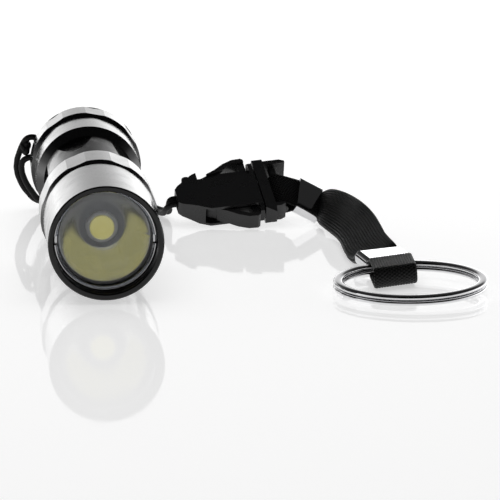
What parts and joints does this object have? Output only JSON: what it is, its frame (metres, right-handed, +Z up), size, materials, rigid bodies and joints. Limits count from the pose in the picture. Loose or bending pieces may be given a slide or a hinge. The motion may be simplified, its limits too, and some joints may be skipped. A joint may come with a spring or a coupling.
{
  "type": "keychain flashlight",
  "caption": "Small metal torch with a deep lensed head, faceted grips, a recessed tail button and a corded lanyard with release buckle, webbing and split ring.",
  "frame": {"origin": "centre of the lens's front face, on the axis of the light, which lies on its side", "axes": "+Y runs back along the light to the tail button and light leaves along -Y; +Z is up from the surface the light lies on; +X is to the right seen from the front, towards the lanyard"},
  "size_m": [0.0832, 0.0997, 0.022],
  "materials": {
    "black_metal": "gloss black anodised",
    "lens_glass": "clear, polished",
    "black_rubber": "satin black",
    "mirror_coat": "vacuum-metallised mirror",
    "clear_silicone": "clear silicone",
    "phosphor": "yellow phosphor",
    "white_ceramic": "white, satin",
    "brass": "turned brass",
    "board_green": "solder-masked board",
    "dark_component": "dark moulded plastic",
    "wire_red": "insulated wire",
    "steel": "nickel-plated steel",
    "cell_label": "printed-film sleeve, left plain",
    "white_plastic": "white moulded plastic",
    "black_cord": "braided nylon cord",
    "black_plastic": "black moulded plastic, semi-gloss",
    "black_webbing": "ribbed nylon webbing",
    "nickel_plate": "bright nickel plate"
  },
  "bodies": {
    "tail": {"tail_cap": "black_metal", "switch_retaining_ring": "brass", "battery_spring": "brass", "tail_contact_board": "board_green", "switch_housing": "dark_component", "switch_spring": "steel", "boot_washer": "dark_component", "switch_boot": "black_rubber", "lanyard_cord": "black_cord", "cord_knot": "black_cord", "buckle_socket": "black_plastic", "buckle_plug": "black_plastic", "strap_bar_loop": "black_webbing", "ferrule_buckle_end": "nickel_plate", "strap_span": "black_webbing", "ferrule_ring_end": "nickel_plate", "strap_ring_loop": "black_webbing"},
    "button": {"switch_plunger": "white_plastic"},
    "cell": {"cell_can": "steel", "cell_sleeve": "cell_label", "cell_positive_cap": "steel"},
    "barrel": {"barrel": "black_metal", "tail_o_ring": "black_rubber"},
    "head_seal": {"head_o_ring": "black_rubber"},
    "head": {"head_shell": "black_metal", "lens_retaining_ring": "black_metal", "lens": "lens_glass", "lens_seal": "black_rubber", "reflector": "mirror_coat", "led_dome": "clear_silicone", "led_phosphor": "phosphor", "led_base": "white_ceramic", "led_insulator": "white_ceramic", "led_board": "white_ceramic", "heat_sink_pill": "brass", "driver_board": "board_green", "driver_inductor": "dark_component", "driver_chip": "dark_component", "driver_contact": "brass", "led_wires": "wire_red"},
    "prong_upper": {"buckle_prong_upper": "black_plastic"},
    "prong_lower": {"buckle_prong_lower": "black_plastic"},
    "key_ring": {"split_key_ring": "nickel_plate"}
  },
  "joints": [
    {"name": "button_press", "type": "slide", "parent": "tail", "child": "button", "axis": [0, -1, 0], "range_m": [0, 0.0012], "stiffness_N_per_m": 800, "deforming": ["switch_boot", "switch_spring"]},
    {"name": "cell_slide", "type": "slide", "parent": "tail", "child": "cell", "axis": [0, -1, 0], "range_m": [0, 0.004], "deforming": ["battery_spring"]},
    {"name": "barrel_unscrew", "type": "hinge", "parent": "cell", "child": "barrel", "pos_m": [0, 0, 0], "axis": [0, -1, 0], "range_deg": [0, 1441]},
    {"name": "head_slide", "type": "slide", "parent": "barrel", "child": "head_seal", "axis": [0, -1, 0], "range_m": [0, 0.003]},
    {"name": "head_unscrew", "type": "hinge", "parent": "head_seal", "child": "head", "pos_m": [0, 0, 0], "axis": [0, -1, 0], "range_deg": [0, 1351]},
    {"name": "prong_upper_squeeze", "type": "hinge", "parent": "tail", "child": "prong_upper", "pos_m": [0.03381, 0.07174, -0.00273], "axis": [-0.0066, -0.5046, 0.8633], "range_deg": [0, 9], "stiffness_Nm_per_rad": 0.3},
    {"name": "prong_lower_squeeze", "type": "hinge", "parent": "tail", "child": "prong_lower", "pos_m": [0.03517, 0.0637, -0.00741], "axis": [0.0066, 0.5046, -0.8633], "range_deg": [0, 9], "stiffness_Nm_per_rad": 0.3},
    {"name": "key_ring_slip", "type": "hinge", "parent": "tail", "child": "key_ring", "pos_m": [0.05531, 0.00049, -0.00931], "axis": [-0.018, -0.026, 0.9995], "continuous": true}
  ],
  "couplings": [
    {"joint": "barrel_unscrew", "follows": "cell_slide", "rad_per_m": 6283.2},
    {"joint": "head_unscrew", "follows": "head_slide", "rad_per_m": 7854}
  ]
}
